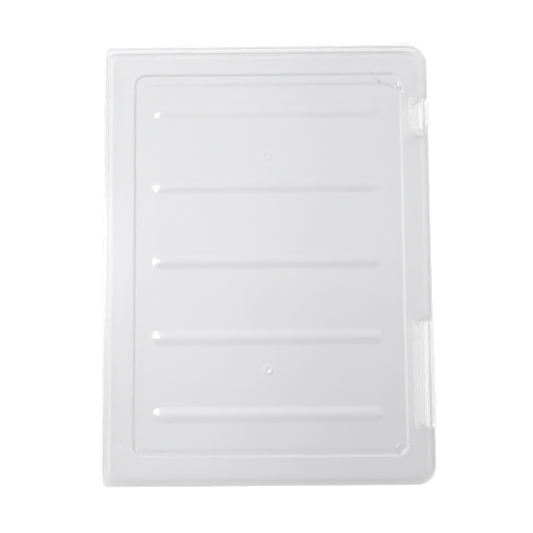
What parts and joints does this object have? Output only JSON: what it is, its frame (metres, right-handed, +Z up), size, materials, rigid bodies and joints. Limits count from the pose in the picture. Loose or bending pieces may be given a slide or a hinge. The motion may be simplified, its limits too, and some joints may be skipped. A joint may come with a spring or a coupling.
{
  "type": "file storage box",
  "caption": "Flat clamshell box for A4 papers in translucent polypropylene, with a living hinge along one long side and flap latches on the other.",
  "frame": {"origin": "centre of the closed box's bounding box, on the surface it lies on", "axes": "+Z up through the lid, +X from the hinge side to the latch side, +Y along the hinge towards the short latch"},
  "size_m": [0.2348, 0.31, 0.022],
  "materials": {
    "shell_plastic": "natural translucent polypropylene, smooth and glossy, with light scuffs",
    "latch_plastic": "natural translucent polypropylene, smooth and glossy",
    "hinge_plastic": "thin natural polypropylene web, almost clear, slightly stress-whitened along the fold"
  },
  "bodies": {
    "base": {"base_tray": "shell_plastic", "lid_hinge_web": "hinge_plastic"},
    "lid": {"lid_cover": "shell_plastic", "latch_web_short": "hinge_plastic", "latch_web_long": "hinge_plastic"},
    "latch_short": {"latch_flap_short": "latch_plastic"},
    "latch_long": {"latch_flap_long": "latch_plastic"}
  },
  "joints": [
    {"name": "lid_hinge", "type": "hinge", "parent": "base", "child": "lid", "pos_m": [-0.11885, 0, 0.0141], "axis": [0, -1, 0], "range_deg": [0, 180], "deforming": ["lid_hinge_web"]},
    {"name": "latch_short_hinge", "type": "hinge", "parent": "lid", "child": "latch_short", "pos_m": [0.11166, 0.1035, 0.02155], "axis": [0, -1, 0], "range_deg": [0, 80], "stiffness_Nm_per_rad": 0.003, "deforming": ["latch_web_short"]},
    {"name": "latch_long_hinge", "type": "hinge", "parent": "lid", "child": "latch_long", "pos_m": [0.11166, -0.0797, 0.02155], "axis": [0, -1, 0], "range_deg": [0, 80], "stiffness_Nm_per_rad": 0.01, "deforming": ["latch_web_long"]}
  ]
}
